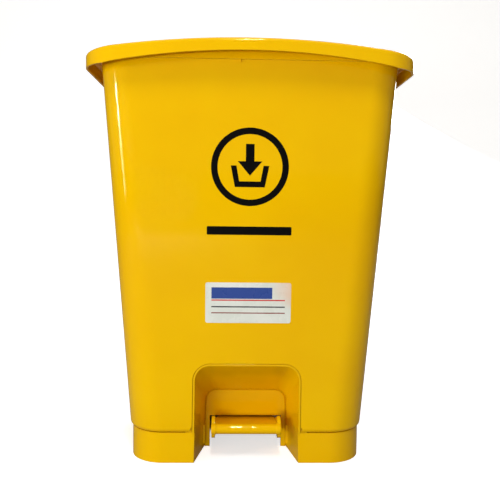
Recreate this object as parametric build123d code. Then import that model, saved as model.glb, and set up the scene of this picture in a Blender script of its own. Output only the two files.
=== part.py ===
from build123d import *
import os
from math import atan, cos, degrees, hypot, radians, sin

# Pedal bin of about 55 litres, in millimetres. +Z is up and the front faces -Y.
# The origin lies on the floor, under the middle of the overall box.
# Pieces: a tapered body on an inset base, a crowned lid on two rear hinges, and a
# pedal lever that pivots in the base and lifts the lid with a rod in a rear channel.

# ---- body ------------------------------------------------------------------------
SKIRT_Z = 46.0                # lower edge of the body
RIM_Z = 580.5                 # lower edge of the rim band
FOOT_WIDTH = 355.0            # outside, at SKIRT_Z
FOOT_DEPTH = 253.0
FOOT_CORNER = 54.5
RIM_WIDTH = 423.2             # outside, at RIM_Z
RIM_DEPTH = 324.0
RIM_CORNER = 40.0
WALL = 3.0
RIM_BAND = 2.5                # how far the rim band stands out
FLOOR_Z = 77.0                # top of the tub's floor
SKIRT_ROUND = 7.0             # rounding of the body's lower edge
LEDGE_REACH = 8.5             # the ledge turned in under the body
CAVITY_ROUND = 14.0

# ---- base ------------------------------------------------------------------------
BASE_INSET = 3.2              # body outside to base outside
SHOULDER_GAP = 0.4            # body ledge above the base's shoulder
SPIGOT_GAP = 0.7
FLOOR_GAP = 0.2               # body's posts above the base's tabs
SPIGOT_TOP = 60.0
BASE_WALL = 3.0
RIB_FOOT_Z = 8.0              # the ribs stop short of the floor
FIX_IN = 27.5                 # fixing screws, in from the body's side at its foot
FIX_ALONG = (61.5, 131.5, 207.5)  # and back from its front
FIX_Z = 39.0                  # top of the base's fixing tabs
POST_RADIUS = 6.5
POST_HOLE_DEPTH = 22.0

# ---- pedal recess ----------------------------------------------------------------
MOUTH_AHEAD = 3.5             # the mouth's sizes are measured just ahead of the body's foot
MOUTH_FOOT_HALF = 79.0
MOUTH_TOP_HALF = 75.5
MOUTH_TOP_Z = 145.5
MOUTH_CORNER = 22.0
RECESS_DEPTH = 72.7           # body's foot to the panel at the back of the recess
PANEL_TOP_IN = 2.0            # the panel narrows upward, each side
PANEL_TOP_Z = 91.0
PANEL_CORNER = 17.0
RECESS_WALL = 2.5
POCKET_GAP = 0.8              # recess wall to the body's pocket
PORTAL_HALF = 56.5            # opening between the panel's legs
LEG_WIDTH = 8.3
PORTAL_TOP_Z = 50.0
PORTAL_PROUD = 2.2            # the panel's raised face
PORTAL_ROUND = 1.6
PORTAL_GAP = 0.2              # raised face to the recess wall
CUT_ROUND = 8.0               # body's corner beside the recess

# ---- lid -------------------------------------------------------------------------
LID_RISE = 25.5               # rim band's lower edge to the apex of the crown
LID_OVERHANG = 19.2           # past the body's rim, each side
LID_NOSE = 31.0               # past the body's rim, at the middle of the front
LID_BOW = 11.8                # front edge, bowed forward at the middle
LID_BACK_GAP = 2.4            # rim band to the inside of the rear skirt
LID_CORNER = 52.3
LID_CROWN_X = 17.2            # fall from the middle to each side
LID_CROWN_Y = 3.5             # fall from the middle to the front
LID_WALL = 2.6
LID_SKIRT_DROP = 12.5         # skirt's lower edge below the rim band's, at the corners
LID_ARCH_RISE = 4.9           # and above it at the middle
LID_ARCH_IN = 11.6            # the arch ends this far in from the body's sides
LID_BACK_RISE = 6.0           # the rear skirt's lower edge above the rim band's
LID_EDGE_ROUND = 5.0
LID_SEAT_GAP = 2.7            # lid underside to the body's rim
SEAL_GAP = 2.5                # seal rib to the inside of the body's mouth
SEAL_THICK = 2.2
SEAL_SWING_GAP = 0.5          # seal's rear to the rim's inner edge, as the lid opens

# ---- lid hinge -------------------------------------------------------------------
BARREL_RADIUS = 7.0
HINGE_REACH = 18.0            # hinge axis behind the body's rim
HINGE_RISE = 2.5              # and above the rim band's lower edge
HINGE_X = 80.0                # middle of each hinge
KNUCKLE_WIDTH = 15.0
EAR_WIDTH = 6.0
EAR_DROP = 34.0               # the ear's foot below the hinge axis
EAR_TURN = 0.9                # radians, where the ear leaves its barrel
HINGE_SIDE_GAP = 0.8
PIN_RADIUS = 2.5
PIN_HEAD = (1.5, 1.2)         # how far a pin's head stands out, and its thickness
PIN_HEAD_GAP = 0.3
FIT = 0.05                    # radial clearance of pins and shafts
OPEN_ANGLE = 72.0
WINDOW_DEPTH = 16.0           # gaps in the rear skirt for the ears
WINDOW_HEIGHT = 21.0
ARM_FOOT = (6.0, 14.5)        # the barrel's arm on the rear skirt, above the hinge axis
ARM_CREST = (1.0, 15.5)       # its crest: past the skirt, and above the axis
ARM_TURNS = (0.85, -2.02)     # radians, where the arm meets its barrel
ARM_INSIDE = 0.1              # the arm's corners inside the barrel

# ---- lift bracket under the lid --------------------------------------------------
BRACKET_IN = 14.0             # middle of the bracket, ahead of the body's rear rim
BRACKET_LENGTH = 22.0
BRACKET_HALF = 23.0
BRACKET_DROP = 7.6            # under the crown's apex
BRACKET_THICK = 2.4
BRACKET_ROUND = 3.0
BRACKET_SCREW_X = 17.5
BRACKET_EYE = 6.5
BOSS_RADIUS = 4.0

# ---- lift rod and its channel ----------------------------------------------------
ROD_RADIUS = 3.0
LIFT_ARM = 36.0               # hinge axis to the lid's lift pin
ROD_SOCKET = 12.0             # how deep the rod sits in its head and foot
SOCKET_WALL = 1.6             # between a socket and the slot or bore beside it
NECK_WALL = 3.0
HEAD_HALF_WIDTH = 8.0
HEAD_HEIGHT = 16.0
HEAD_WALL = 2.6
HEAD_ROUND = 2.0
HEAD_SIDE_GAP = 1.0           # head to the lift bracket's ears
SLOT_PLAY = 0.9               # slot half height beyond the pin
SLOT_END_GAP = 0.5
CHANNEL_HALF = 20.0
CHANNEL_DEPTH = 28.0
COVER_SEAT_HALF = 30.0        # rebate that takes the rear cover
COVER_DEPTH = 3.2
COVER_FOOT_Z = 52.0
COVER_TOP_DROP = 40.5         # below the rim band
COVER_THICK = 2.8
COVER_GAP = 0.5
COVER_SCREW_INSET = 24.0
COVER_PANEL_INSET = (12.0, 40.0)  # sunk panel, in from the cover's sides and ends
COVER_PANEL_SINK = 0.8
GUIDE_FOOT_Z = 150.0          # heights of the two rod guides
GUIDE_TOP_DROP = 80.5         # the upper one below the rim band
GUIDE_HEIGHT = 12.0
GUIDE_WEB = 5.4               # a guide's wall around the rod, before the slots beside it
GUIDE_RAIL = 3.6              # and between the slots and the channel's sides
GUIDE_BACK_GAP = 1.0          # guide to the rear cover
NOTCH_RISE = 9.5              # rim lowered where the lift bracket passes

# ---- pedal lever -----------------------------------------------------------------
PIVOT_BEHIND = 36.8           # axle behind the panel
PIVOT_Z = 46.0
AXLE_RADIUS = 4.0
AXLE_END = 7.0                # axle past its bracket
HUB_RADIUS = 9.0
HUB_HALF = 43.0
HUB_GAP = 3.0                 # hub to its bracket
BRACKET_WIDTH = 4.0
CAP_WALL = 3.0
CAP_GAP = 0.3
CAP_END = 1.5
BAR_BEHIND = 14.7             # bar behind the front of the body's foot
BAR_RISE = 1.5                # above the axle
BAR_RADIUS = 7.6
BAR_SIDE_GAP = 4.0            # bar to the panel's legs
BAR_ROUND = 1.2
COLLAR_PROUD = 0.7
COLLAR_ROUND = 0.6
COLLAR_IN = 2.0
CHEEK_IN = 0.5                # cheek's outside in from the bar's end
CHEEK_THICK = 5.0
CHEEK_RADIUS = 16.0
CHEEK_BEHIND = 12.0           # behind the bar
CHEEK_RISE = 0.5              # above the axle
TAIL_RADIUS = 5.0             # the cheek's rear end
TAIL_AHEAD = 26.0             # ahead of the axle
TAIL_DROP = 9.0
TREAD_RISE = 1.0              # top of the plate above the axle
TREAD_THICK = 3.0
TREAD_RIB = (2.2, 3.0, 14.0)  # thickness, depth under the plate, and inset
TREAD_RIBS = (18.8, 36.8, 54.8)   # behind the bar
TREAD_WAIST = (48.0, 22.0, 10.0)  # ahead of the axle, and how far it narrows
BEAM_HALF = 24.0
BEAM_RIB = 1.2                # half thickness of the beam's ribs
FORK_GAP = 1.5                # rod's foot to the fork's rails
FORK_THICK = 3.0
FORK_WEB = (3.0, 2.2, 9.0)    # web thickness, rib thickness and rib height
EYE_RADIUS = 7.0
FOOT_PIN_RADIUS = 2.5

# ---- screws ----------------------------------------------------------------------
SCREW_BOSS = 14.0
SCREW_HOLE = 1.4
SCREW_SHANK = 1.35
SCREW_PLAY = 0.25
SCREW_HEAD = (3.2, 1.6)       # radius and height
SCREW_CROSS = (0.6, 1.4)      # width and depth
COVER_SCREW = 12.0            # length under the head
BASE_SCREW = 20.0
BRACKET_SCREW = 4.6

# ---- printed marks, flat on the front wall ---------------------------------------
MARK_THICK = 0.2
LABEL_THICK = 0.3
MARK_ROUND = 1.5
LABEL_ROUND = 3.0
SYMBOL_UP = 71.6              # heights from half way up the wall above the recess
BAR_MARK_UP = -17.7
LABEL_UP = -121.5
SYMBOL_RADIUS = 54.5
SYMBOL_LINE = 9.0
BAR_MARK = (120.0, 12.0)
LABEL = (123.0, 59.0)
ARROW = ((-6, 32), (6, 32), (6, 8), (17, 8), (0, -12), (-17, 8), (-6, 8))
TRAY = ((-27, 2), (-19, 2), (-15, -20), (15, -20), (19, 2), (27, 2), (21, -28), (-21, -28))

# ---- worked out from the sizes above ---------------------------------------------
BODY_Y = (LID_NOSE - HINGE_REACH - BARREL_RADIUS) / 2     # centres the overall box
FOOT_FRONT_Y = BODY_Y - FOOT_DEPTH / 2
RIM_BACK_Y = BODY_Y + RIM_DEPTH / 2
LEAN = atan((RIM_DEPTH - FOOT_DEPTH) / 2 / (RIM_Z - SKIRT_Z))
HALF_OPEN = radians(OPEN_ANGLE / 2)

LID_TOP_Z = RIM_Z + LID_RISE
LID_WIDTH = RIM_WIDTH + 2 * LID_OVERHANG
LID_FRONT_Y = BODY_Y - RIM_DEPTH / 2 - LID_NOSE
LID_BACK_Y = RIM_BACK_Y + RIM_BAND + LID_BACK_GAP + LID_WALL
LID_SKIRT_Z = RIM_Z - LID_SKIRT_DROP
LID_ARCH_TOP = RIM_Z + LID_ARCH_RISE
LID_ARCH_HALF = RIM_WIDTH / 2 - LID_ARCH_IN
LID_BACK_SKIRT_Z = RIM_Z + LID_BACK_RISE
HINGE_Y = RIM_BACK_Y + HINGE_REACH
HINGE_Z = RIM_Z + HINGE_RISE
RIM_TOP_RISE = LID_RISE - LID_WALL - LID_SEAT_GAP - HINGE_RISE    # above the hinge axis
SEAL_BACK_Y = HINGE_Y - hypot(HINGE_REACH + WALL, RIM_TOP_RISE) - SEAL_SWING_GAP
OVERALL_DEPTH = HINGE_Y + BARREL_RADIUS - LID_FRONT_Y
CROWN_RADIUS_X = ((LID_WIDTH / 2) ** 2 + LID_CROWN_X**2) / (2 * LID_CROWN_X)
CROWN_RADIUS_Y = ((OVERALL_DEPTH / 2) ** 2 + LID_CROWN_Y**2) / (2 * LID_CROWN_Y)
CAVITY_TOP = LID_TOP_Z + LID_RISE     # above everything, for solids that are trimmed later
FLOOR_UNDER = FLOOR_Z - WALL
RIM_NOTCH_Z = RIM_Z + NOTCH_RISE

FIX_X = FOOT_WIDTH / 2 - FIX_IN
FIX_Y = [FOOT_FRONT_Y + along for along in FIX_ALONG]
MOUTH_Y = FOOT_FRONT_Y - MOUTH_AHEAD
PANEL_Y = FOOT_FRONT_Y + RECESS_DEPTH
PANEL_FOOT_HALF = PORTAL_HALF + LEG_WIDTH
PANEL_TOP_HALF = PANEL_FOOT_HALF - PANEL_TOP_IN
COVER_Z = (COVER_FOOT_Z, RIM_Z - COVER_TOP_DROP)

PIVOT_Y = PANEL_Y + PIVOT_BEHIND
BRACKET_X = (HUB_HALF + HUB_GAP, HUB_HALF + HUB_GAP + BRACKET_WIDTH)
AXLE_HALF = BRACKET_X[1] + AXLE_END
BAR_Y, BAR_Z = FOOT_FRONT_Y + BAR_BEHIND, PIVOT_Z + BAR_RISE
BAR_HALF = PORTAL_HALF - BAR_SIDE_GAP
CHEEK_Y, CHEEK_Z = BAR_Y + CHEEK_BEHIND, PIVOT_Z + CHEEK_RISE
TREAD_TOP_Z = PIVOT_Z + TREAD_RISE
FORK_X = (HEAD_HALF_WIDTH + FORK_GAP, HEAD_HALF_WIDTH + FORK_GAP + FORK_THICK)

BRACKET_Y = RIM_BACK_Y - BRACKET_IN
BRACKET_TOP_Z = LID_TOP_Z - BRACKET_DROP
BRACKET_EAR = (HEAD_HALF_WIDTH + HEAD_SIDE_GAP, HEAD_HALF_WIDTH + HEAD_SIDE_GAP + BRACKET_THICK)
HEAD_SLOT_RADIUS = PIN_RADIUS + SLOT_PLAY
ROD_STROKE = 2 * LIFT_ARM * sin(HALF_OPEN)
ROD_DISTANCE = LIFT_ARM * (1 + cos(HALF_OPEN)) / 2
SLOT_HALF = LIFT_ARM * (1 - cos(HALF_OPEN)) / 2 + SLOT_END_GAP
HEAD_SEAT = HEAD_SLOT_RADIUS + SOCKET_WALL            # rod's end from the lift pin
FOOT_SEAT = FOOT_PIN_RADIUS + SLOT_PLAY + SOCKET_WALL  # and from the foot pin

MARKS_Z = (MOUTH_TOP_Z + RIM_Z) / 2
SYMBOL_Z, BAR_MARK_Z, LABEL_Z = MARKS_Z + SYMBOL_UP, MARKS_Z + BAR_MARK_UP, MARKS_Z + LABEL_UP

FORWARD = Vector(0, -cos(LEAN), sin(LEAN))     # square to the rear wall, into the bin
UPWARD = Vector(0, sin(LEAN), cos(LEAN))       # up along the rear wall
HINGE = Vector(0, HINGE_Y, HINGE_Z)
PIVOT = Vector(0, PIVOT_Y, PIVOT_Z)


def share(low, high, t):
    return low + (high - low) * t


def wall_plan(z, inset):
    """The body's rounded plan at a height, moved in from the outside."""
    t = (z - SKIRT_Z) / (RIM_Z - SKIRT_Z)
    width = share(FOOT_WIDTH, RIM_WIDTH, t) - 2 * inset
    depth = share(FOOT_DEPTH, RIM_DEPTH, t) - 2 * inset
    corner = share(FOOT_CORNER, RIM_CORNER, t) - inset
    return Pos(0, BODY_Y, z) * RectangleRounded(width, depth, corner)


def tapered(low, high, inset):
    return loft([wall_plan(low, inset), wall_plan(high, inset)], ruled=True)


def straight_plan(inset, low, high):
    """An upright block on the body's foot plan."""
    plan = RectangleRounded(
        FOOT_WIDTH - 2 * inset, FOOT_DEPTH - 2 * inset, FOOT_CORNER - inset
    )
    return extrude(Pos(0, BODY_Y, low) * plan, high - low)


def wall_y(z, front=False):
    """The outside of the front or rear wall, at a height."""
    half = share(FOOT_DEPTH, RIM_DEPTH, (z - SKIRT_Z) / (RIM_Z - SKIRT_Z)) / 2
    return BODY_Y - half if front else BODY_Y + half


def side_plate(points, x_low, x_high):
    """A plate square to X, from its outline in Y and Z."""
    outline = Plane.YZ * make_face(Polyline(*points, close=True))
    return Pos(x_low, 0, 0) * extrude(outline, x_high - x_low)


def cross_rod(radius, y, z, x_low, x_high):
    """A round bar along X."""
    return Pos((x_low + x_high) / 2, y, z) * Rot(0, 90, 0) * Cylinder(radius, x_high - x_low)


def both_sides(piece):
    return piece + mirror(piece, Plane.YZ)


def crown_block(drop):
    """Everything under the lid's crowned top, lowered by drop."""
    apex = LID_TOP_Z - drop
    fall = (OVERALL_DEPTH**2) / (2 * CROWN_RADIUS_Y)
    low = -SKIRT_Z
    arc = ThreePointArc(
        (0, -OVERALL_DEPTH, apex - fall), (0, 0, apex), (0, OVERALL_DEPTH, apex - fall)
    )
    rest = Polyline(
        (0, OVERALL_DEPTH, apex - fall),
        (0, OVERALL_DEPTH, low),
        (0, -OVERALL_DEPTH, low),
        (0, -OVERALL_DEPTH, apex - fall),
    )
    sweep = 26
    spine = Axis((0, 0, LID_TOP_Z - CROWN_RADIUS_X), (0, 1, 0))
    return revolve(make_face(arc + rest), spine, revolution_arc=sweep).rotate(spine, -sweep / 2)


# ---- pedal recess ----------------------------------------------------------------
def arch_face(y, grow):
    """The recess across, at a depth: straight sides, rounded top corners."""
    t = (y - MOUTH_Y) / (PANEL_Y - MOUTH_Y)
    foot = share(MOUTH_FOOT_HALF, PANEL_FOOT_HALF, t) + grow
    top = share(MOUTH_TOP_HALF, PANEL_TOP_HALF, t) + grow
    z_top = share(MOUTH_TOP_Z, PANEL_TOP_Z, t) + grow
    corner = share(MOUTH_CORNER, PANEL_CORNER, t) + grow
    below = -WALL
    outline = make_face(
        Polyline((-foot, below), (foot, below), (top, z_top), (-top, z_top), close=True)
    )
    top_corners = outline.vertices().sort_by(Axis.Y)[-2:]
    return Plane((0, y, 0), x_dir=(1, 0, 0), z_dir=(0, -1, 0)) * fillet(top_corners, corner)


def funnel(grow, back):
    """The recess as a solid, from in front of the body to a depth."""
    return loft([arch_face(MOUTH_Y - 30, grow), arch_face(back, grow)], ruled=True)


# ---- body ------------------------------------------------------------------------
def rear_prism(x_low, x_high, depth_low, depth_high, z_low, z_high):
    """A block that leans with the rear wall, between two depths inside it."""
    points = [
        (wall_y(z) - depth / cos(LEAN), z)
        for z, depth in (
            (z_low, depth_low), (z_high, depth_low), (z_high, depth_high), (z_low, depth_high)
        )
    ]
    return side_plate(points, x_low, x_high)


def channel_void():
    low, high = 0, CAVITY_TOP
    narrow = rear_prism(-CHANNEL_HALF, CHANNEL_HALF, -WALL * 3, CHANNEL_DEPTH, low, high)
    low, high = COVER_Z[0] - COVER_GAP, CAVITY_TOP
    seat = rear_prism(-COVER_SEAT_HALF, COVER_SEAT_HALF, -WALL * 3, COVER_DEPTH, low, high)
    return narrow + seat


def channel_casing():
    """The inside of the tub's wall around the channel."""
    high = CAVITY_TOP
    half = CHANNEL_HALF + WALL
    casing = rear_prism(-half, half, 0, CHANNEL_DEPTH + WALL, SKIRT_Z, high)
    half = COVER_SEAT_HALF + WALL
    casing += rear_prism(-half, half, 0, COVER_DEPTH + WALL, SKIRT_Z, high)
    for x, z in cover_screw_places():
        casing += cover_place(x, z) * Pos(0, 0, -SCREW_BOSS / 2) * Cylinder(BOSS_RADIUS, SCREW_BOSS)
    return casing


def cover_screw_places():
    x = (CHANNEL_HALF + COVER_SEAT_HALF) / 2
    low, high = COVER_Z[0] + COVER_SCREW_INSET, COVER_Z[1] - COVER_SCREW_INSET
    return [(side * x, z) for z in (low, (low + high) / 2, high) for side in (-1, 1)]


def cover_place(x, z):
    """A spot on the rear wall: local +Z points out of the wall."""
    return Location(Plane((x, wall_y(z), z), x_dir=(1, 0, 0), z_dir=(0, cos(LEAN), -sin(LEAN))))


def body_hinge_ears():
    """Two plates at each hinge that carry its pin, one each side of the lid's barrel."""
    foot_z = HINGE_Z - EAR_DROP
    profile = [
        (wall_y(RIM_Z) - WALL / 2, HINGE_Z + BARREL_RADIUS),
        (HINGE_Y, HINGE_Z + BARREL_RADIUS),
        (HINGE_Y + BARREL_RADIUS * cos(EAR_TURN), HINGE_Z - BARREL_RADIUS * sin(EAR_TURN)),
        (wall_y(foot_z) - WALL / 2, foot_z),
    ]
    ears = Part()
    for side in (-1, 1):
        middle = HINGE_X + side * (KNUCKLE_WIDTH / 2 + HINGE_SIDE_GAP + EAR_WIDTH / 2)
        low, high = middle - EAR_WIDTH / 2, middle + EAR_WIDTH / 2
        ear = side_plate(profile, low, high)
        ear += cross_rod(BARREL_RADIUS, HINGE_Y, HINGE_Z, low, high)
        ears += ear - cross_rod(PIN_RADIUS + FIT, HINGE_Y, HINGE_Z, low, high)
    return both_sides(ears)


def fixing_posts(radius, low, high):
    posts = [Pos(FIX_X, y, (low + high) / 2) * Cylinder(radius, high - low) for y in FIX_Y]
    return both_sides(posts[0] + posts[1] + posts[2])


def recess_cut():
    """The opening through the body's front wall, rounded at its lower corners."""
    cut = funnel(RECESS_WALL + POCKET_GAP, PANEL_Y + BASE_WALL + POCKET_GAP)
    half = MOUTH_FOOT_HALF + RECESS_WALL + POCKET_GAP
    front, back = wall_y(RIM_Z, True), wall_y(SKIRT_Z, True) + LEDGE_REACH + WALL
    inside = wall_y(SKIRT_Z, True) + WALL
    low, high = MOUTH_FOOT_HALF - WALL, half + CUT_ROUND + WALL
    relief = Pos((low + high) / 2, (inside + back) / 2, SKIRT_Z + WALL / 2)
    cut += both_sides(relief * Box(high - low, back - inside, WALL + 2))
    corner = Pos(half + CUT_ROUND / 2 - 1, (front + back) / 2, SKIRT_Z + CUT_ROUND / 2)
    flare = corner * Box(CUT_ROUND + 2, back - front, CUT_ROUND)
    rounding = Pos(half + CUT_ROUND, (front + back) / 2, SKIRT_Z + CUT_ROUND)
    flare -= rounding * Rot(90, 0, 0) * Cylinder(CUT_ROUND, back - front)
    return cut + both_sides(flare)


def make_body():
    outside = tapered(SKIRT_Z, CAVITY_TOP, 0)
    outside = fillet(outside.faces().sort_by(Axis.Z)[0].edges(), SKIRT_ROUND)
    outside += tapered(RIM_Z, CAVITY_TOP, -RIM_BAND)

    cavity = tapered(FLOOR_Z, CAVITY_TOP + WALL, WALL)
    cavity = fillet(cavity.faces().sort_by(Axis.Z)[0].edges(), CAVITY_ROUND)
    cavity -= funnel(RECESS_WALL + POCKET_GAP + WALL, PANEL_Y + BASE_WALL + POCKET_GAP + WALL)
    cavity -= channel_casing()

    underside = tapered(SKIRT_Z + WALL, FLOOR_UNDER, WALL)
    underside += straight_plan(LEDGE_REACH, SKIRT_Z - WALL, SKIRT_Z + 2 * WALL)

    body = outside - cavity - underside - recess_cut() - channel_void()
    body += fixing_posts(POST_RADIUS, FIX_Z, FLOOR_UNDER)
    body &= crown_block(LID_WALL + LID_SEAT_GAP)
    notch = Pos(0, RIM_BACK_Y - 2 * WALL, (RIM_NOTCH_Z + CAVITY_TOP) / 2)
    body -= notch * Box(
        2 * (COVER_SEAT_HALF + WALL), 2 * CHANNEL_DEPTH, CAVITY_TOP - RIM_NOTCH_Z
    )
    body += body_hinge_ears()
    body -= fixing_posts(SCREW_HOLE, FIX_Z - 1, FIX_Z + POST_HOLE_DEPTH)
    for x, z in cover_screw_places():
        body -= cover_place(x, z) * Pos(0, 0, -SCREW_BOSS / 2) * Cylinder(SCREW_HOLE, SCREW_BOSS - 3)
    return body


# ---- base ------------------------------------------------------------------------
def base_ring():
    """The plinth's wall, its shoulder under the body's ledge, and the spigot above."""
    shoulder = SKIRT_Z - SHOULDER_GAP
    spigot = LEDGE_REACH + SPIGOT_GAP
    ring = straight_plan(BASE_INSET, 0, shoulder)
    ring -= straight_plan(BASE_INSET + BASE_WALL, -1, shoulder - BASE_WALL)
    ring += straight_plan(spigot, shoulder - BASE_WALL, SPIGOT_TOP)
    return ring - straight_plan(spigot + RECESS_WALL, shoulder - 2 * BASE_WALL, SPIGOT_TOP + 1)


def base_front():
    """The space that the recess may fill: inside the base below, inside the body above."""
    below = straight_plan(BASE_INSET, 0, SKIRT_Z - SHOULDER_GAP)
    return below + tapered(SKIRT_Z - SHOULDER_GAP, MOUTH_TOP_Z + 2 * WALL, 0)


def base_corner_plates():
    """Close the gaps beside the recess, where the body's corners are rounded."""
    low = MOUTH_FOOT_HALF + RECESS_WALL / 2
    high = MOUTH_FOOT_HALF + RECESS_WALL + POCKET_GAP + CUT_ROUND
    back = wall_y(SKIRT_Z, True) + WALL + POCKET_GAP + RECESS_WALL
    middle = Pos((low + high) / 2, back - RECESS_WALL / 2, SKIRT_Z)
    return both_sides(middle * Box(high - low, RECESS_WALL, 3 * CUT_ROUND))


def panel():
    """The panel and its two legs, with a raised, rounded front."""
    plate = extrude(arch_face(PANEL_Y + BASE_WALL, RECESS_WALL), BASE_WALL)
    raised = extrude(arch_face(PANEL_Y, -PORTAL_GAP), PORTAL_PROUD)
    raised = fillet(raised.faces().sort_by(Axis.Y)[0].edges(), PORTAL_ROUND)
    opening = Pos(0, PANEL_Y, (PORTAL_TOP_Z - BASE_WALL) / 2)
    portal = opening * Box(2 * PORTAL_HALF, 4 * BASE_WALL, PORTAL_TOP_Z + BASE_WALL)
    above_floor = Pos(0, PANEL_Y, PANEL_TOP_Z) * Box(FOOT_WIDTH, 4 * BASE_WALL, 2 * PANEL_TOP_Z)
    return (plate + raised - portal) & above_floor


def pivot_brackets():
    """Two plates behind the panel that carry the pedal's axle."""
    front = PANEL_Y + BASE_WALL / 2
    top = FLOOR_UNDER - 1
    points = [
        (front, PORTAL_TOP_Z + 2), (front, top), (PIVOT_Y + HUB_RADIUS / 2, top),
        (PIVOT_Y + HUB_RADIUS, PIVOT_Z), (PIVOT_Y, PIVOT_Z - HUB_RADIUS),
    ]
    plate = side_plate(points, *BRACKET_X)
    boss = cross_rod(HUB_RADIUS, PIVOT_Y, PIVOT_Z, *BRACKET_X)
    return both_sides(plate + boss)


def base_ribs():
    """Front-to-back ribs beside the lever, cross ribs, and tabs for the fixing screws."""
    back = BODY_Y + FOOT_DEPTH / 2 - BASE_INSET - BASE_WALL / 2
    rib_low, rib_high = RIB_FOOT_Z, SKIRT_Z - 2 * BASE_WALL
    tab_under = FIX_Z - FLOOR_GAP - BASE_WALL
    half_x = FOOT_WIDTH / 2 - BASE_INSET - BASE_WALL / 2
    rib_x = PANEL_FOOT_HALF - BASE_WALL / 2
    long_rib = Pos(rib_x, (PANEL_Y + back) / 2, (rib_low + rib_high) / 2) * Box(
        BASE_WALL, back - PANEL_Y, rib_high - rib_low
    )
    ribs = long_rib
    cross_high = tab_under + BASE_WALL / 2
    tab_low = FIX_X - 1.5 * POST_RADIUS
    for y in FIX_Y:
        ribs += Pos((rib_x + half_x) / 2, y, (rib_low + cross_high) / 2) * Box(
            half_x - rib_x, RECESS_WALL, cross_high - rib_low
        )
        tab = Pos((tab_low + half_x) / 2, y, tab_under + BASE_WALL / 2)
        ribs += tab * Box(half_x - tab_low, 2.4 * POST_RADIUS, BASE_WALL)
        ribs -= Pos(FIX_X, y, tab_under - FIX_Z / 2) * Cylinder(POST_RADIUS, FIX_Z)
    return both_sides(ribs)


def make_base():
    base = base_ring() + base_corner_plates()
    base += funnel(RECESS_WALL, PANEL_Y) & base_front()
    base -= funnel(0, PANEL_Y)
    base += panel() + pivot_brackets() + base_ribs()
    inside = BODY_Y + FOOT_DEPTH / 2 - BASE_INSET - BASE_WALL
    notch = Pos(0, inside - CHANNEL_DEPTH / 2, SKIRT_Z + SPIGOT_TOP / 2 - 2 * BASE_WALL)
    base -= notch * Box(2 * FORK_X[1] + 10, CHANNEL_DEPTH, SPIGOT_TOP)
    base -= fixing_posts(SCREW_SHANK + FIT, 0, SKIRT_Z)
    bore = AXLE_RADIUS + FIT
    return base - cross_rod(bore, PIVOT_Y, PIVOT_Z, -AXLE_HALF, AXLE_HALF)


# ---- pedal lever -----------------------------------------------------------------
def pivot_to_rod():
    """Square distance from the pedal's axle to the rod's line."""
    return FORWARD.dot(PIVOT - HINGE) - ROD_DISTANCE


def rod_point(along, forward=0.0):
    """A place on the rod's line at rest, measured along it from beside the lid's hinge."""
    return HINGE + FORWARD * (ROD_DISTANCE + forward) + UPWARD * along


def foot_pin_along():
    """The foot pin at rest: half a stroke under the place square behind the axle."""
    return UPWARD.dot(PIVOT - HINGE) - ROD_STROKE / 2


def head_pin_along():
    return -ROD_STROKE / 2


def bar_and_cheeks():
    """The round bar, and a round cheek at each end that tapers back under the plate."""
    bar = fillet(cross_rod(BAR_RADIUS, BAR_Y, BAR_Z, -BAR_HALF, BAR_HALF).edges(), BAR_ROUND)
    high = BAR_HALF - CHEEK_IN
    low = high - CHEEK_THICK
    tail_y, tail_z = PIVOT_Y - TAIL_AHEAD, PIVOT_Z - TAIL_DROP
    cheek = cross_rod(CHEEK_RADIUS, CHEEK_Y, CHEEK_Z, low, high)
    cheek += cross_rod(TAIL_RADIUS, tail_y, tail_z, low, high)
    cheek += side_plate(
        [
            (CHEEK_Y, CHEEK_Z + CHEEK_RADIUS), (CHEEK_Y, CHEEK_Z - CHEEK_RADIUS),
            (tail_y, tail_z - TAIL_RADIUS), (tail_y, tail_z + TAIL_RADIUS),
        ],
        low,
        high,
    )
    collar = cross_rod(BAR_RADIUS + COLLAR_PROUD, BAR_Y, BAR_Z, low - COLLAR_IN, high - CHEEK_IN)
    return bar + both_sides(cheek + fillet(collar.edges(), COLLAR_ROUND))


def tread_plate():
    """The flat plate behind the bar, narrowed behind the panel, down to the beam."""
    wide = BAR_HALF - CHEEK_IN - CHEEK_THICK / 2
    start, waist, narrowing = TREAD_WAIST
    back_y = PIVOT_Y - AXLE_RADIUS
    right = [
        (wide, BAR_Y), (wide, PIVOT_Y - start), (wide - narrowing, PIVOT_Y - waist),
        (BEAM_HALF, back_y),
    ]
    left = [(-x, y) for x, y in reversed(right)]
    outline = make_face(Polyline(*right, *left, close=True))
    plate = extrude(Pos(0, 0, TREAD_TOP_Z - TREAD_THICK) * outline, TREAD_THICK)
    thick, deep, inset = TREAD_RIB
    for behind in TREAD_RIBS:
        rib = Pos(0, BAR_Y + behind, TREAD_TOP_Z - TREAD_THICK - deep / 2)
        plate += rib * Box(2 * wide - inset, thick, deep + TREAD_THICK)
    return plate


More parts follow.
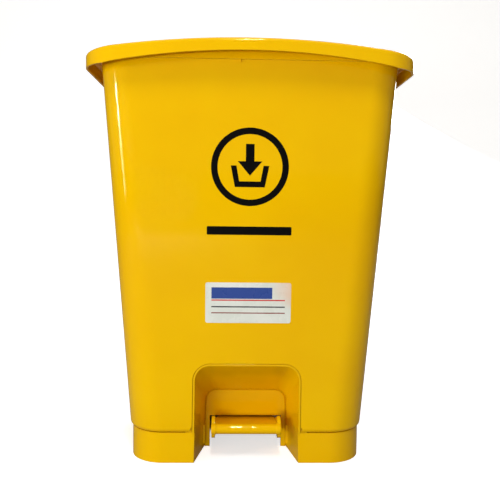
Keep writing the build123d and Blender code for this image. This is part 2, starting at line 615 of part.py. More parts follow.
def rear_arm():
    """Two rails and a web from the hub to the fork at the rod's foot."""
    run = rod_point(foot_pin_along()) - PIVOT
    reach = run.length
    half_swing = atan(ROD_STROKE / 2 / pivot_to_rod())
    slot_travel = reach * (1 - cos(half_swing))
    slot_radius = FOOT_PIN_RADIUS + SLOT_PLAY / 3
    web_end = reach - 2 * EYE_RADIUS - AXLE_RADIUS
    web, rib, rib_height = FORK_WEB
    root, tip = HUB_RADIUS - 2, EYE_RADIUS - 2
    rail = side_plate([(0, -root), (reach, -tip), (reach, tip), (0, root)], *FORK_X)
    rail += cross_rod(EYE_RADIUS, reach - slot_travel / 2, 0, *FORK_X)
    near, far = reach - slot_travel - SLOT_END_GAP, reach + SLOT_END_GAP
    rail -= cross_rod(slot_radius, near, 0, *FORK_X) + cross_rod(slot_radius, far, 0, *FORK_X)
    middle = Pos((FORK_X[0] + FORK_X[1]) / 2, (near + far) / 2, 0)
    rail -= middle * Box(FORK_X[1] - FORK_X[0], far - near, 2 * slot_radius)
    arm = both_sides(rail)
    arm += Pos(0, web_end / 2, tip - web / 2) * Box(2 * FORK_X[1], web_end, web)
    for part in (1 / 3, 2 / 3, 1):
        arm += Pos(0, web_end * part - rib / 2, 0) * Box(2 * FORK_X[1], rib, rib_height)
    return Pos(0, PIVOT_Y, PIVOT_Z) * Rot(degrees(atan(run.Z / run.Y)), 0, 0) * arm


def make_lever():
    lever = bar_and_cheeks() + tread_plate() + rear_arm()
    lever += cross_rod(HUB_RADIUS, PIVOT_Y, PIVOT_Z, -HUB_HALF, HUB_HALF)
    front, top = BAR_Y + BAR_RADIUS, TREAD_TOP_Z - TREAD_THICK / 2
    profile = [
        (front, TREAD_TOP_Z - BAR_RADIUS), (front, top), (PIVOT_Y, top),
        (PIVOT_Y, PIVOT_Z - HUB_RADIUS + 1),
    ]
    for x in (FORK_X[1] - FORK_THICK / 2, BEAM_HALF - BEAM_RIB):
        lever += both_sides(side_plate(profile, x - BEAM_RIB, x + BEAM_RIB))
    return lever - cross_rod(AXLE_RADIUS + FIT, PIVOT_Y, PIVOT_Z, -AXLE_HALF, AXLE_HALF)


def make_axle():
    return cross_rod(AXLE_RADIUS, PIVOT_Y, PIVOT_Z, -AXLE_HALF, AXLE_HALF)


def make_axle_cap(side):
    """A push-on cap outside each bracket."""
    inner, outer = BRACKET_X[1] + CAP_GAP, AXLE_HALF + CAP_END
    cap = cross_rod(AXLE_RADIUS + CAP_WALL, PIVOT_Y, PIVOT_Z, inner, outer)
    cap = fillet(cap.edges(), CAP_END / 2)
    cap -= cross_rod(AXLE_RADIUS + FIT, PIVOT_Y, PIVOT_Z, 0, AXLE_HALF)
    return cap if side > 0 else mirror(cap, Plane.YZ)


# ---- lift rod --------------------------------------------------------------------
def along_rod(along, forward=0.0):
    """Local +Z runs up the rod, local -Y runs forward from the rod's line."""
    place = rod_point(along, forward)
    return Location(Plane(place, x_dir=(1, 0, 0), z_dir=UPWARD))


def make_rod():
    low = foot_pin_along() + FOOT_SEAT
    high = head_pin_along() - HEAD_SEAT
    return along_rod((low + high) / 2) * Cylinder(ROD_RADIUS, high - low)


def slot_block(half, radius, width):
    """A slot's space along local Y, through local X."""
    block = Box(width, 2 * half, 2 * radius)
    for end in (-half, half):
        block += Pos(0, end, 0) * Rot(0, 90, 0) * Cylinder(radius, width)
    return block


def make_rod_head():
    """The moulded head on the rod, with a slot for the lid's lift pin."""
    depth = 2 * (SLOT_HALF + HEAD_SLOT_RADIUS + HEAD_WALL)
    head = fillet(Box(2 * HEAD_HALF_WIDTH, depth, HEAD_HEIGHT).edges(), HEAD_ROUND)
    neck = HEAD_HEIGHT / 2 + ROD_SOCKET
    head += Pos(0, 0, -neck / 2) * Cylinder(ROD_RADIUS + NECK_WALL, neck)
    head -= slot_block(SLOT_HALF, HEAD_SLOT_RADIUS, 3 * HEAD_HALF_WIDTH)
    head -= Pos(0, 0, -HEAD_SEAT - neck / 2) * Cylinder(ROD_RADIUS + FIT, neck)
    return along_rod(head_pin_along()) * head


def make_rod_foot():
    """The moulded foot on the rod, bored for the cross pin."""
    foot = fillet(Box(2 * HEAD_HALF_WIDTH, HEAD_HEIGHT, HEAD_HEIGHT).edges(), HEAD_ROUND)
    neck = HEAD_HEIGHT / 2 + ROD_SOCKET
    foot += Pos(0, 0, neck / 2) * Cylinder(ROD_RADIUS + NECK_WALL, neck)
    foot -= Rot(0, 90, 0) * Cylinder(FOOT_PIN_RADIUS + FIT, 3 * HEAD_HALF_WIDTH)
    foot -= Pos(0, 0, FOOT_SEAT + neck / 2) * Cylinder(ROD_RADIUS + FIT, neck)
    return along_rod(foot_pin_along()) * foot


def headed_pin(radius, half):
    """A pin along local X with a thin head at each end."""
    proud, thick = PIN_HEAD
    pin = Rot(0, 90, 0) * Cylinder(radius, 2 * half)
    for end in (-half, half):
        pin += Pos(end, 0, 0) * Rot(0, 90, 0) * Cylinder(radius + proud, thick)
    return pin


def make_foot_pin():
    half = FORK_X[1] + PIN_HEAD[1] / 2 + PIN_HEAD_GAP
    return along_rod(foot_pin_along()) * headed_pin(FOOT_PIN_RADIUS, half)


def make_guide(height):
    """A guide block between the channel's walls, bored for the rod."""
    along = (height - HINGE_Z) / cos(LEAN)
    inset = FORWARD.dot(HINGE - Vector(0, wall_y(HINGE_Z), HINGE_Z)) + ROD_DISTANCE
    front = CHANNEL_DEPTH - inset
    back = inset - COVER_DEPTH - GUIDE_BACK_GAP
    guide = Pos(0, (back - front) / 2, 0) * Box(2 * CHANNEL_HALF, front + back, GUIDE_HEIGHT)
    guide -= Cylinder(ROD_RADIUS + FIT, 2 * GUIDE_HEIGHT)
    low, high = ROD_RADIUS + GUIDE_WEB, CHANNEL_HALF - GUIDE_RAIL
    guide -= both_sides(Pos((low + high) / 2, 0, 0) * Box(high - low, front, 2 * GUIDE_HEIGHT))
    return along_rod(along) * guide


# ---- rear cover ------------------------------------------------------------------
def make_rear_cover():
    depth = COVER_DEPTH - COVER_THICK
    half = COVER_SEAT_HALF - COVER_GAP
    cover = rear_prism(-half, half, depth, COVER_DEPTH, *COVER_Z)
    side_in, end_in = COVER_PANEL_INSET
    sunk = half - side_in
    cover -= rear_prism(
        -sunk, sunk, depth - 1, depth + COVER_PANEL_SINK, COVER_Z[0] + end_in, COVER_Z[1] - end_in
    )
    for x, z in cover_screw_places():
        cover -= cover_place(x, z) * Cylinder(SCREW_SHANK + SCREW_PLAY, 4 * COVER_DEPTH)
    return cover


def screw(length):
    """A pan-head screw down local -Z from under its head at the origin."""
    radius, height = SCREW_HEAD
    head = Pos(0, 0, height / 2) * Cylinder(radius, height)
    head = fillet(head.faces().sort_by(Axis.Z)[-1].edges(), height * 0.6)
    width, depth = SCREW_CROSS
    cross = Box(radius * 1.3, width, depth) + Box(width, radius * 1.3, depth)
    shank = Pos(0, 0, -length / 2) * Cylinder(SCREW_SHANK, length)
    return head - Pos(0, 0, height) * cross + shank


def make_cover_screws():
    face = COVER_THICK - COVER_DEPTH
    return Compound([
        cover_place(x, z) * Pos(0, 0, face) * screw(COVER_SCREW) for x, z in cover_screw_places()
    ])


def make_base_screws():
    under = FIX_Z - FLOOR_GAP - BASE_WALL
    return Compound([
        Pos(side * FIX_X, y, under) * Rot(180, 0, 0) * screw(BASE_SCREW)
        for side in (-1, 1) for y in FIX_Y
    ])


# ---- lid -------------------------------------------------------------------------
def lid_plan(inset):
    half, corner_y = LID_WIDTH / 2, LID_FRONT_Y + LID_BOW
    bow = ThreePointArc((-half, corner_y), (0, LID_FRONT_Y), (half, corner_y))
    rest = Polyline(
        (half, corner_y), (half, LID_BACK_Y), (-half, LID_BACK_Y), (-half, corner_y)
    )
    plan = make_face(bow + rest)
    plan = fillet(plan.vertices(), LID_CORNER)
    return offset(plan, -inset) if inset else plan


def lid_block(inset, drop, low, rounding):
    block = extrude(Pos(0, 0, low) * lid_plan(inset), LID_TOP_Z + WALL - low)
    block &= crown_block(drop)
    return fillet(block.faces().sort_by(Axis.Z)[-1].edges(), rounding) if rounding else block


def skirt_arch():
    """What is cut away under the skirt: an arch through the lid, front to back."""
    rise = LID_ARCH_TOP - LID_SKIRT_Z
    radius = (LID_ARCH_HALF**2 + rise**2) / (2 * rise)
    arch = Pos(0, 0, LID_ARCH_TOP - radius) * Rot(90, 0, 0) * Cylinder(radius, 3 * OVERALL_DEPTH)
    half, past = LID_WIDTH / 2 + WALL, LID_BACK_Y + WALL
    step = [
        (LID_BACK_Y - LID_CORNER, LID_SKIRT_Z), (LID_BACK_Y - 3 * LID_WALL, LID_BACK_SKIRT_Z),
        (past, LID_BACK_SKIRT_Z), (past, RIM_Z - LID_CORNER), (0, RIM_Z - LID_CORNER),
    ]
    return arch + side_plate(step, -half, half)


def hinge_knuckles():
    """The lid's barrels, and the arms that carry them behind the skirt."""
    low, high = HINGE_X - KNUCKLE_WIDTH / 2, HINGE_X + KNUCKLE_WIDTH / 2
    inner, reach = LID_BACK_Y - LID_WALL, BARREL_RADIUS - ARM_INSIDE
    profile = [
        (inner, HINGE_Z + ARM_FOOT[0]), (inner, HINGE_Z + ARM_FOOT[1]),
        (LID_BACK_Y + ARM_CREST[0], HINGE_Z + ARM_CREST[1]),
    ]
    profile += [(HINGE_Y + reach * cos(turn), HINGE_Z + reach * sin(turn)) for turn in ARM_TURNS]
    arm = side_plate(profile, low, high)
    return both_sides(arm + cross_rod(BARREL_RADIUS, HINGE_Y, HINGE_Z, low, high))


def hinge_windows():
    """Gaps in the rear skirt that let the body's ears through."""
    half = KNUCKLE_WIDTH / 2 + 2 * HINGE_SIDE_GAP + EAR_WIDTH
    window = Pos(HINGE_X, LID_BACK_Y, HINGE_Z) * Box(2 * half, WINDOW_DEPTH, WINDOW_HEIGHT)
    return both_sides(window)


def bracket_screw_spots():
    return [(side * BRACKET_SCREW_X, BRACKET_Y) for side in (-1, 1)]


def seal_rib():
    """A shallow rib under the lid that drops just inside the body's mouth."""
    low, inset, thick = LID_ARCH_TOP - 1, WALL + SEAL_GAP, SEAL_THICK
    front = BODY_Y - RIM_DEPTH / 2 + inset
    width, depth, corner = RIM_WIDTH - 2 * inset, SEAL_BACK_Y - front, RIM_CORNER - inset
    ring = RectangleRounded(width, depth, corner)
    ring -= RectangleRounded(width - 2 * thick, depth - 2 * thick, corner - thick)
    place = Pos(0, (front + SEAL_BACK_Y) / 2, low)
    rib = extrude(place * ring, LID_TOP_Z - low) & crown_block(LID_WALL / 2)
    gap_half = COVER_SEAT_HALF + 4 * WALL
    return rib - Pos(0, RIM_BACK_Y, HINGE_Z) * Box(
        2 * gap_half, 4 * CHANNEL_DEPTH, 4 * LID_RISE
    )


def make_lid():
    lid = lid_block(0, 0, LID_SKIRT_Z, LID_EDGE_ROUND)
    lid -= lid_block(LID_WALL, LID_WALL, LID_SKIRT_Z - 1, LID_EDGE_ROUND - LID_WALL)
    lid -= skirt_arch()
    lid += seal_rib()
    lid -= hinge_windows()
    lid += hinge_knuckles()
    for x, y in bracket_screw_spots():
        boss = Pos(x, y, BRACKET_TOP_Z + 2 * LID_WALL) * Cylinder(BOSS_RADIUS, 4 * LID_WALL)
        lid += boss & crown_block(LID_WALL / 2)
        lid -= Pos(x, y, BRACKET_TOP_Z) * Cylinder(SCREW_HOLE, 2 * LID_WALL)
    return lid - cross_rod(PIN_RADIUS + FIT, HINGE_Y, HINGE_Z, -LID_WIDTH / 2, LID_WIDTH / 2)


def make_hinge_pin(side):
    """A steel pin through two ears and a knuckle, with a thin head outside each ear."""
    half = KNUCKLE_WIDTH / 2 + HINGE_SIDE_GAP + EAR_WIDTH + PIN_HEAD[1] / 2 + PIN_HEAD_GAP
    return Pos(side * HINGE_X, HINGE_Y, HINGE_Z) * headed_pin(PIN_RADIUS, half)


def lift_pin_place():
    """The lid's lift pin at rest, half a stroke below the hinge's height on the rod."""
    return rod_point(head_pin_along()) + FORWARD * (LIFT_ARM * cos(HALF_OPEN) - ROD_DISTANCE)


def make_lift_bracket():
    """A pressed bracket: a plate under the lid and two ears that hold the lift pin."""
    pin = lift_pin_place()
    top, under = BRACKET_TOP_Z, BRACKET_TOP_Z - BRACKET_THICK
    front, back = BRACKET_Y - BRACKET_LENGTH / 2, BRACKET_Y + BRACKET_LENGTH / 2
    plate = Pos(0, BRACKET_Y, (top + under) / 2) * Box(
        2 * BRACKET_HALF, BRACKET_LENGTH, BRACKET_THICK
    )
    plate = fillet(plate.edges().filter_by(Axis.Z), BRACKET_ROUND)
    ear = side_plate(
        [
            (front + 2, under + 1), (pin.Y - BRACKET_EYE, pin.Z),
            (pin.Y + BRACKET_EYE, pin.Z), (back - 1, under + 1),
        ],
        *BRACKET_EAR,
    )
    ear += cross_rod(BRACKET_EYE, pin.Y, pin.Z, *BRACKET_EAR)
    ear -= cross_rod(PIN_RADIUS + FIT, pin.Y, pin.Z, *BRACKET_EAR)
    bracket = plate + both_sides(ear)
    for x, y in bracket_screw_spots():
        bracket -= Pos(x, y, under) * Cylinder(SCREW_SHANK + SCREW_PLAY, 4 * BRACKET_THICK)
    return bracket


def make_lift_pin():
    half = BRACKET_EAR[1] + PIN_HEAD[1] / 2 + PIN_HEAD_GAP
    return Pos(lift_pin_place()) * headed_pin(PIN_RADIUS, half)


def make_bracket_screws():
    under = BRACKET_TOP_Z - BRACKET_THICK
    return Compound([
        Pos(x, y, under) * Rot(180, 0, 0) * screw(BRACKET_SCREW) for x, y in bracket_screw_spots()
    ])


# ---- printed marks ---------------------------------------------------------------
def front_place(z):
    """A spot on the front wall's middle line: local X across, local Y up the wall."""
    place = Plane((0, wall_y(z, True), z), x_dir=(1, 0, 0), z_dir=(0, -cos(LEAN), -sin(LEAN)))
    return Location(place)


def make_symbol():
    """A plain ring around an arrow that drops into an open tray."""
    ring = Circle(SYMBOL_RADIUS) - Circle(SYMBOL_RADIUS - SYMBOL_LINE)
    arrow, tray = (make_face(Polyline(*points, close=True)) for points in (ARROW, TRAY))
    return Compound([
        extrude(front_place(SYMBOL_Z) * shape, MARK_THICK) for shape in (ring, arrow, tray)
    ])


def make_caption_bar():
    return extrude(front_place(BAR_MARK_Z) * RectangleRounded(*BAR_MARK, MARK_ROUND), MARK_THICK)


def make_label():
    return extrude(front_place(LABEL_Z) * RectangleRounded(*LABEL, LABEL_ROUND), LABEL_THICK)


def save(name, piece):
    export_step(piece, "parts/%s.step" % name)


os.makedirs("parts", exist_ok=True)
PIECES = {
    "bin_body": make_body,
    "base_plinth": make_base,
    "pedal_lever": make_lever,
    "pedal_axle": make_axle,
    "axle_cap_left": lambda: make_axle_cap(-1),
    "axle_cap_right": lambda: make_axle_cap(1),
    "lift_rod": make_rod,
    "rod_head": make_rod_head,
    "rod_foot": make_rod_foot,
    "rod_foot_pin": make_foot_pin,
    "rod_guide_lower": lambda: make_guide(GUIDE_FOOT_Z),
    "rod_guide_upper": lambda: make_guide(RIM_Z - GUIDE_TOP_DROP),
    "rear_cover": make_rear_cover,
    "cover_screws": make_cover_screws,
    "base_screws": make_base_screws,
    "lid": make_lid,
    "hinge_pin_left": lambda: make_hinge_pin(-1),
    "hinge_pin_right": lambda: make_hinge_pin(1),
    "lift_bracket": make_lift_bracket,
    "lift_pin": make_lift_pin,
    "bracket_screws": make_bracket_screws,
    "symbol_print": make_symbol,
    "caption_bar_print": make_caption_bar,
    "front_label": make_label,
}
for piece_name, make in PIECES.items():
    save(piece_name, make())
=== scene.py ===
from math import cos, radians, sin

import bpy
from mathutils import Matrix, Vector


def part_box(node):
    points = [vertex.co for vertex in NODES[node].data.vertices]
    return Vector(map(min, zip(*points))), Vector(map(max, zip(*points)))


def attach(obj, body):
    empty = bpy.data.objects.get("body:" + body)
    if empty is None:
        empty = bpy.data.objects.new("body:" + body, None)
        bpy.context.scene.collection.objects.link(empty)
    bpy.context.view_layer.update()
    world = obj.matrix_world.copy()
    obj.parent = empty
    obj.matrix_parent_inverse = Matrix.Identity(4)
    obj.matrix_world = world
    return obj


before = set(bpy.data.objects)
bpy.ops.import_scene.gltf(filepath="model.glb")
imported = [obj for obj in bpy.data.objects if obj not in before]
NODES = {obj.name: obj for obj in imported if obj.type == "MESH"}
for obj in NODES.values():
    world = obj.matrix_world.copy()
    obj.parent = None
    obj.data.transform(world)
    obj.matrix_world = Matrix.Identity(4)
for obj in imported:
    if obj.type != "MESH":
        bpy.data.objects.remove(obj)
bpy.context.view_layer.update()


# ---- node helpers ----------------------------------------------------------------
class Recipe:
    """A material's node tree, with short calls for the nodes it is made of."""

    def __init__(self, name):
        self.material = bpy.data.materials.new(name)
        self.material.use_nodes = True
        self.tree = self.material.node_tree
        self.tree.nodes.clear()
        self.shader = self.add("ShaderNodeBsdfPrincipled")
        self.output = self.add("ShaderNodeOutputMaterial")
        self.link(self.shader.outputs[0], self.output.inputs["Surface"])
        self.coordinates = self.add("ShaderNodeTexCoord")
        self.place = self.coordinates.outputs["Object"]

    def add(self, kind, **settings):
        node = self.tree.nodes.new(kind)
        for key, value in settings.items():
            setattr(node, key, value)
        return node

    def link(self, source, target):
        self.tree.links.new(source, target)

    def stretched(self, x, y, z):
        """Object coordinates scaled along each axis."""
        mapping = self.add("ShaderNodeMapping")
        mapping.inputs["Scale"].default_value = (x, y, z)
        self.link(self.place, mapping.inputs["Vector"])
        return mapping.outputs["Vector"]

    def noise(self, scale, detail=2.0, roughness=0.5, place=None):
        node = self.add("ShaderNodeTexNoise")
        node.inputs["Scale"].default_value = scale
        node.inputs["Detail"].default_value = detail
        node.inputs["Roughness"].default_value = roughness
        self.link(place or self.place, node.inputs["Vector"])
        return node.outputs["Fac"]

    def spread(self, value, low_in, high_in, low_out, high_out):
        """Carry a value from one range to another, held at the ends."""
        node = self.add("ShaderNodeMapRange")
        for socket, number in zip(
            ("From Min", "From Max", "To Min", "To Max"), (low_in, high_in, low_out, high_out)
        ):
            node.inputs[socket].default_value = number
        self.link(value, node.inputs["Value"])
        return node.outputs["Result"]

    def sum(self, first, second, operation="ADD"):
        node = self.add("ShaderNodeMath", operation=operation)
        for value, socket in ((first, node.inputs[0]), (second, node.inputs[1])):
            if isinstance(value, (int, float)):
                socket.default_value = value
            else:
                self.link(value, socket)
        return node.outputs[0]

    def blend(self, share, first, second):
        """Mix two colours, each a tuple or a socket."""
        node = self.add("ShaderNodeMix", data_type="RGBA")
        self.link(share, next(s for s in node.inputs if s.name == "Factor" and s.type == "VALUE"))
        colours = [socket for socket in node.inputs if socket.type == "RGBA"]
        for value, socket in zip((first, second), colours):
            if isinstance(value, tuple):
                socket.default_value = (*value, 1.0)
            else:
                self.link(value, socket)
        return next(s for s in node.outputs if s.type == "RGBA")

    def bump(self, height, distance, strength=1.0, under=None):
        node = self.add("ShaderNodeBump")
        node.inputs["Distance"].default_value = distance
        node.inputs["Strength"].default_value = strength
        self.link(height, node.inputs["Height"])
        if under is not None:
            self.link(under, node.inputs["Normal"])
        return node.outputs["Normal"]

    def rounded(self, width):
        """The normal as if every edge were rounded by width."""
        bevel = self.add("ShaderNodeBevel")
        bevel.inputs["Radius"].default_value = width
        bevel.samples = 4
        return bevel.outputs["Normal"]

    def edge(self, rounded):
        """1 on edges and corners, 0 on flats: how far a rounded normal leans from the real one."""
        geometry = self.add("ShaderNodeNewGeometry")
        dot = self.add("ShaderNodeVectorMath", operation="DOT_PRODUCT")
        self.link(rounded, dot.inputs[0])
        self.link(geometry.outputs["Normal"], dot.inputs[1])
        return self.spread(dot.outputs["Value"], 0.99, 0.86, 0.0, 1.0)

    def within(self, value, low, high):
        """1 where a value lies between two numbers, 0 elsewhere."""
        above = self.sum(value, low, "GREATER_THAN")
        below = self.sum(value, high, "LESS_THAN")
        return self.sum(above, below, "MULTIPLY")

    def set(self, **values):
        """Plain values, straight on the shader's own sockets."""
        for key, value in values.items():
            self.shader.inputs[key.replace("_", " ")].default_value = value

    def drive(self, socket, source):
        self.link(source, self.shader.inputs[socket])


# ---- materials -------------------------------------------------------------------
YELLOW = (0.88, 0.520, 0.0)
YELLOW_DEEP = (0.84, 0.470, 0.0)
YELLOW_WORN = (0.95, 0.62, 0.03)
GLOSS_TINT = (1.0, 0.86, 0.45, 1.0)


def yellow_plastic(name, seed, gloss=(0.065, 0.15)):
    """Glossy moulded polypropylene: slow flow waves, fine orange peel, hand marks, rubbed edges."""
    r = Recipe(name)
    shifted = r.add("ShaderNodeMapping")
    shifted.inputs["Location"].default_value = (seed * 0.37, seed * 0.11, seed * 0.23)
    r.link(r.place, shifted.inputs["Vector"])
    place = shifted.outputs["Vector"]
    rounded = r.rounded(0.0012)
    cloud = r.spread(r.noise(5.0, 3.0, 0.55, place), 0.35, 0.65, 0.0, 1.0)
    colour = r.blend(cloud, YELLOW, YELLOW_DEEP)
    colour = r.blend(r.sum(r.edge(rounded), 0.35, "MULTIPLY"), colour, YELLOW_WORN)
    r.drive("Base Color", colour)
    smudge = r.spread(r.noise(22.0, 4.0, 0.6, place), 0.45, 0.75, *gloss)
    scuffs = r.spread(r.noise(60.0, 5.0, 0.7, r.stretched(1.0, 1.0, 9.0)), 0.64, 0.8, 0.0, 0.25)
    r.drive("Roughness", r.sum(smudge, scuffs))
    r.set(IOR=1.49, Specular_Tint=GLOSS_TINT, Subsurface_Weight=0.04)
    r.set(Subsurface_Radius=(1.0, 0.35, 0.02), Subsurface_Scale=0.004)
    waves = r.bump(r.noise(9.0, 1.0, 0.4, place), 0.0007, 0.5, rounded)
    peel = r.bump(r.noise(420.0, 2.0, 0.5, place), 0.00003, 0.12, waves)
    r.drive("Normal", peel)
    return r.material


def black_nylon():
    r = Recipe("black_nylon")
    edge = r.edge(r.rounded(0.0008))
    r.drive("Base Color", r.blend(edge, (0.012, 0.012, 0.013), (0.06, 0.06, 0.062)))
    r.drive("Roughness", r.spread(r.noise(60.0, 4.0), 0.3, 0.7, 0.38, 0.55))
    r.drive("Normal", r.bump(r.noise(900.0, 2.0), 0.00003, 0.5))
    return r.material


def drawn_steel():
    """Bright bar with drawing lines along it and a few dull patches."""
    r = Recipe("drawn_steel")
    r.set(Metallic=1.0)
    lines = r.noise(90.0, 3.0, 0.6, r.stretched(30.0, 30.0, 1.0))
    patch = r.spread(r.noise(30.0, 4.0), 0.5, 0.72, 0.0, 1.0)
    r.drive("Base Color", r.blend(patch, (0.62, 0.62, 0.61), (0.42, 0.40, 0.37)))
    r.drive("Roughness", r.spread(lines, 0.3, 0.7, 0.2, 0.36))
    r.drive("Normal", r.bump(lines, 0.00002, 0.5))
    return r.material


def zinc_plate():
    """Zinc plating: a fine spangle, with pale rubbed edges."""
    r = Recipe("zinc_plate")
    r.set(Metallic=1.0)
    spangle = r.noise(260.0, 3.0, 0.7)
    colour = r.blend(spangle, (0.46, 0.47, 0.48), (0.66, 0.66, 0.64))
    r.drive("Base Color", r.blend(r.edge(r.rounded(0.0006)), colour, (0.8, 0.8, 0.79)))
    r.drive("Roughness", r.spread(spangle, 0.3, 0.7, 0.28, 0.45))
    return r.material


def black_ink():
    """Screen-printed ink: near black, with slight thin spots from the mesh."""
    r = Recipe("black_ink")
    thin = r.spread(r.noise(350.0, 3.0, 0.7), 0.62, 0.8, 0.0, 0.35)
    r.drive("Base Color", r.blend(thin, (0.002, 0.002, 0.002), (0.02, 0.012, 0.002)))
    r.drive("Roughness", r.spread(r.noise(45.0, 3.0), 0.3, 0.7, 0.30, 0.42))
    r.drive("Normal", r.bump(r.noise(700.0, 2.0), 0.00002, 0.4))
    r.set(Specular_IOR_Level=0.15)
    return r.material


def label_film():
    """A printed write-on label: tinted film, a coloured heading band and ruled lines."""
    r = Recipe("label_film")
    low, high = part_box("front_label")
    split = r.add("ShaderNodeSeparateXYZ")
    r.link(r.place, split.inputs[0])
    across = r.spread(split.outputs["X"], low[0], high[0], 0.0, 1.0)
    up = r.spread(split.outputs["Z"], low[2], high[2], 0.0, 1.0)
    film = r.blend(r.noise(28.0, 3.0), (0.86, 0.87, 0.84), (0.60, 0.66, 0.58))
    corner = r.spread(r.sum(r.noise(16.0, 2.0), across, "MULTIPLY"), 0.42, 0.6, 0.0, 0.7)
    film = r.blend(corner, film, (0.80, 0.52, 0.36))
    page = r.within(across, 0.07, 0.93)
    bands = (
        (0.60, 0.88, 0.78, (0.03, 0.07, 0.30)),
        (0.55, 0.58, 0.93, (0.62, 0.03, 0.03)),
        (0.385, 0.415, 0.93, (0.03, 0.03, 0.04)),
        (0.235, 0.262, 0.93, (0.25, 0.05, 0.04)),
    )
    for bottom, top, right, ink in bands:
        stripe = r.sum(r.within(up, bottom, top), r.within(across, 0.07, right), "MULTIPLY")
        film = r.blend(r.sum(stripe, page, "MULTIPLY"), film, ink)
    r.drive("Base Color", film)
    r.drive("Roughness", r.spread(r.noise(60.0, 3.0), 0.3, 0.7, 0.20, 0.36))
    r.drive("Normal", r.bump(r.noise(35.0, 1.0), 0.0003, 0.4))
    return r.material


def paint(material, *names):
    for name in names:
        slots = NODES[name].data.materials
        if not slots:
            slots.append(material)
        for index in range(len(slots)):
            slots[index] = material


paint(yellow_plastic("yellow_body", 1), "bin_body")
paint(yellow_plastic("yellow_base", 2), "base_plinth")
paint(yellow_plastic("yellow_lid", 3), "lid")
paint(yellow_plastic("yellow_pedal", 4, (0.02, 0.045)), "pedal_lever")
paint(yellow_plastic("yellow_cover", 5), "rear_cover")
paint(black_nylon(), "rod_guide_lower", "rod_guide_upper", "rod_head", "rod_foot",
      "axle_cap_left", "axle_cap_right")
paint(drawn_steel(), "lift_rod", "pedal_axle", "lift_pin", "rod_foot_pin",
      "hinge_pin_left", "hinge_pin_right")
paint(zinc_plate(), "lift_bracket", "cover_screws", "base_screws", "bracket_screws")
paint(black_ink(), "symbol_print", "caption_bar_print")
paint(label_film(), "front_label")


# ---- camera ----------------------------------------------------------------------
CAMERA_PLACE = (-0.02366, -1.01099, 0.36496)
CAMERA_TURNS = (0.029, 0.054, 0.012)    # radians: to the right, down, and rolled
CAMERA_LENS = 44.08
SENSOR_WIDTH = 36.0


def add_camera():
    """Just left of the middle and a little above half height, tipped down and turned slightly."""
    turn, tip, roll = CAMERA_TURNS
    forward = Vector((sin(turn) * cos(tip), cos(turn) * cos(tip), -sin(tip)))
    right = Vector((cos(turn), -sin(turn), 0.0))
    up = right.cross(forward)
    tilted_right = right * cos(roll) + up * sin(roll)
    tilted_up = up * cos(roll) - right * sin(roll)
    data = bpy.data.cameras.new("camera")
    data.sensor_width = SENSOR_WIDTH
    data.lens = CAMERA_LENS
    camera = bpy.data.objects.new("camera", data)
    bpy.context.scene.collection.objects.link(camera)
    camera.matrix_world = Matrix.Translation(CAMERA_PLACE) @ Matrix((
        (tilted_right.x, tilted_up.x, -forward.x, 0),
        (tilted_right.y, tilted_up.y, -forward.y, 0),
        (tilted_right.z, tilted_up.z, -forward.z, 0),
        (0, 0, 0, 1),
    ))
    bpy.context.scene.camera = camera


# ---- studio ----------------------------------------------------------------------
def area_light(name, place, aim, width, height, power, colour=(1.0, 1.0, 1.0), mirrored=True):
    """A rectangular light; one that isn't mirrored lights the bin but leaves no reflection."""
    data = bpy.data.lights.new(name, "AREA")
    data.shape = "RECTANGLE"
    data.size, data.size_y = width, height
    data.energy = power
    data.color = colour
    light = bpy.data.objects.new(name, data)
    light.location = place
    light.rotation_euler = (Vector(aim) - Vector(place)).to_track_quat("-Z", "Y").to_euler()
    light.visible_glossy = mirrored
    bpy.context.scene.collection.objects.link(light)


SWEEP_BEND = 1.4
SWEEP_BACK = 2.6
SWEEP_STEPS = 24
SWEEP_REACH = 7.0             # floor ahead of the bin, and to each side
SWEEP_HEIGHT = 6.0
SWEEP_UNDER = 0.0002          # paper below the base
SWEEP_GLOW = 0.64
SWEEP_DIM = (0.30, 0.285, 0.26, 1.0)    # the paper as reflections see it


def add_sweep():
    """A pale paper sweep: flat floor, then a wide bend up to the background."""
    bend_start = SWEEP_BACK - SWEEP_BEND
    profile = [(-SWEEP_REACH, 0.0), (bend_start, 0.0)]
    for step in range(1, SWEEP_STEPS + 1):
        angle = radians(90 * step / SWEEP_STEPS)
        profile.append((bend_start + SWEEP_BEND * sin(angle), SWEEP_BEND * (1 - cos(angle))))
    profile.append((SWEEP_BACK, SWEEP_HEIGHT))
    corners = [
        (x, y, z - SWEEP_UNDER) for y, z in profile for x in (-SWEEP_REACH, SWEEP_REACH)
    ]
    faces = [(2 * n, 2 * n + 1, 2 * n + 3, 2 * n + 2) for n in range(len(profile) - 1)]
    mesh = bpy.data.meshes.new("sweep")
    mesh.from_pydata(corners, [], faces)
    mesh.shade_smooth()
    sweep = bpy.data.objects.new("sweep", mesh)
    bpy.context.scene.collection.objects.link(sweep)
    mesh.materials.append(sweep_paper())


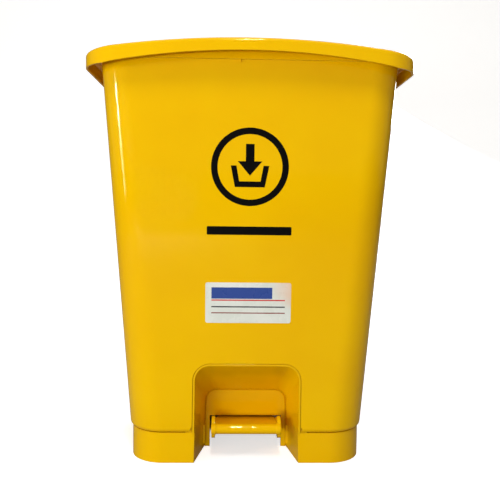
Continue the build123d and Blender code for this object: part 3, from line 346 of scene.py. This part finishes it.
def sweep_paper():
    """Paper that glows a little to the camera, except under the base, and is dim in reflections."""
    r = Recipe("sweep_paper")
    r.drive("Base Color", r.blend(r.noise(3.0, 3.0), (0.90, 0.90, 0.90), (0.87, 0.87, 0.875)))
    r.drive("Roughness", r.spread(r.noise(20.0, 3.0), 0.3, 0.7, 0.8, 0.95))
    r.set(Specular_IOR_Level=0.1, Emission_Color=(1.0, 1.0, 1.0, 1.0))
    split = r.add("ShaderNodeSeparateXYZ")
    r.link(r.place, split.inputs[0])
    _, base_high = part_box("base_plinth")
    aside = r.sum(split.outputs["X"], split.outputs["X"], "MULTIPLY")
    beside = r.spread(aside, 0.8 * base_high[0] ** 2, base_high[0] ** 2, 0.0, 1.0)
    ahead = r.spread(split.outputs["Y"], 0.01, 0.03, 1.0, 0.0)
    behind = r.spread(split.outputs["Y"], base_high[1] - 0.02, base_high[1], 0.0, 1.0)
    open_floor = r.sum(r.sum(beside, ahead, "MAXIMUM"), behind, "MAXIMUM")
    r.drive("Emission Strength", r.sum(open_floor, SWEEP_GLOW, "MULTIPLY"))
    dim = r.add("ShaderNodeBsdfDiffuse")
    dim.inputs["Color"].default_value = SWEEP_DIM
    path, mix = r.add("ShaderNodeLightPath"), r.add("ShaderNodeMixShader")
    r.link(path.outputs["Is Camera Ray"], mix.inputs[0])
    r.link(dim.outputs[0], mix.inputs[1])
    r.link(r.shader.outputs[0], mix.inputs[2])
    r.link(mix.outputs[0], r.output.inputs["Surface"])
    return r.material


def add_world():
    world = bpy.data.worlds.new("studio")
    world.use_nodes = True
    background = world.node_tree.nodes["Background"]
    background.inputs["Color"].default_value = (1.0, 0.93, 0.82, 1.0)
    background.inputs["Strength"].default_value = 0.22
    bpy.context.scene.world = world


NIB_X, NIB_Z = -0.0147, 0.5805
NIB_BEHIND = 0.0026           # behind the foremost point of the body's rim
NIB_HALF = (0.0009, 0.0019, 0.0045)
NIB_RINGS, NIB_AROUND = 7, 12


def add_nib():
    """The small mark that the mould's gate leaves across the rim band's lower edge."""
    low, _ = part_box("bin_body")
    middle_y = low[1] + NIB_BEHIND
    half_width, half_depth, half_height = NIB_HALF
    rings, around = NIB_RINGS, NIB_AROUND
    corners, faces = [], []
    for ring in range(rings):
        angle = radians(180 * (ring + 0.5) / rings)
        swell = sin(angle)
        for turn in range(around):
            turned = radians(360 * turn / around)
            corners.append((
                NIB_X + half_width * swell * cos(turned),
                middle_y + half_depth * swell * sin(turned),
                NIB_Z + half_height * cos(angle),
            ))
    for ring in range(rings - 1):
        for turn in range(around):
            a, b = ring * around + turn, ring * around + (turn + 1) % around
            faces.append((a, a + around, b + around, b))
    faces.append(tuple(range(around)))
    faces.append(tuple(reversed(range((rings - 1) * around, rings * around))))
    mesh = bpy.data.meshes.new("gate_mark")
    mesh.from_pydata(corners, [], faces)
    mesh.shade_smooth()
    nib = bpy.data.objects.new("gate_mark", mesh)
    bpy.context.scene.collection.objects.link(nib)
    mesh.materials.append(NODES["bin_body"].data.materials[0])
    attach(nib, "bin")


add_camera()
add_sweep()
add_world()
add_nib()

# ---- lights ----------------------------------------------------------------------
WARM = (1.0, 0.86, 0.62)
LAMP_LENGTH = 0.6
PANE_PLACE = (-1.86, -1.0)
PANE_SIZE = (0.20, 0.07)
PANE_LOWEST, PANE_STEP = 0.20, 0.1
PANE_POWERS = (0.5, 0.7, 1.0, 3.0, 3.4)

area_light("key", (-1.4, -2.1, 0.60), (0, 0, 0.30), 1.0, 0.9, 9, mirrored=False)
area_light("front", (-0.7, -2.1, 0.18), (0, 0, 0.36), 1.0, 0.2, 18, mirrored=False)
area_light("fill", (1.9, -1.9, 0.9), (0, 0, 0.3), 1.4, 1.4, 3, WARM, mirrored=False)
area_light("top", (0.1, 0.3, 2.6), (0, 0, 0.4), 2.0, 2.0, 14)
for name, x, width, power in (
    ("lamp_left", -0.018, 0.010, 2.6), ("lamp_middle", 0.010, 0.028, 6.5),
    ("lamp_right", 0.082, 0.010, 3.0),
):
    area_light(name, (x, -1.25, 1.9), (x, -0.11, 0.05), width, LAMP_LENGTH, power)
for pane, power in enumerate(PANE_POWERS):
    height = PANE_LOWEST + PANE_STEP * pane
    area_light("pane_%d" % pane, (*PANE_PLACE, height), (0, 0, height), *PANE_SIZE, power)
area_light("rear", (1.2, 2.2, 1.4), (0, 0, 0.3), 1.0, 1.2, 30)
bpy.context.scene.view_settings.view_transform = "Standard"
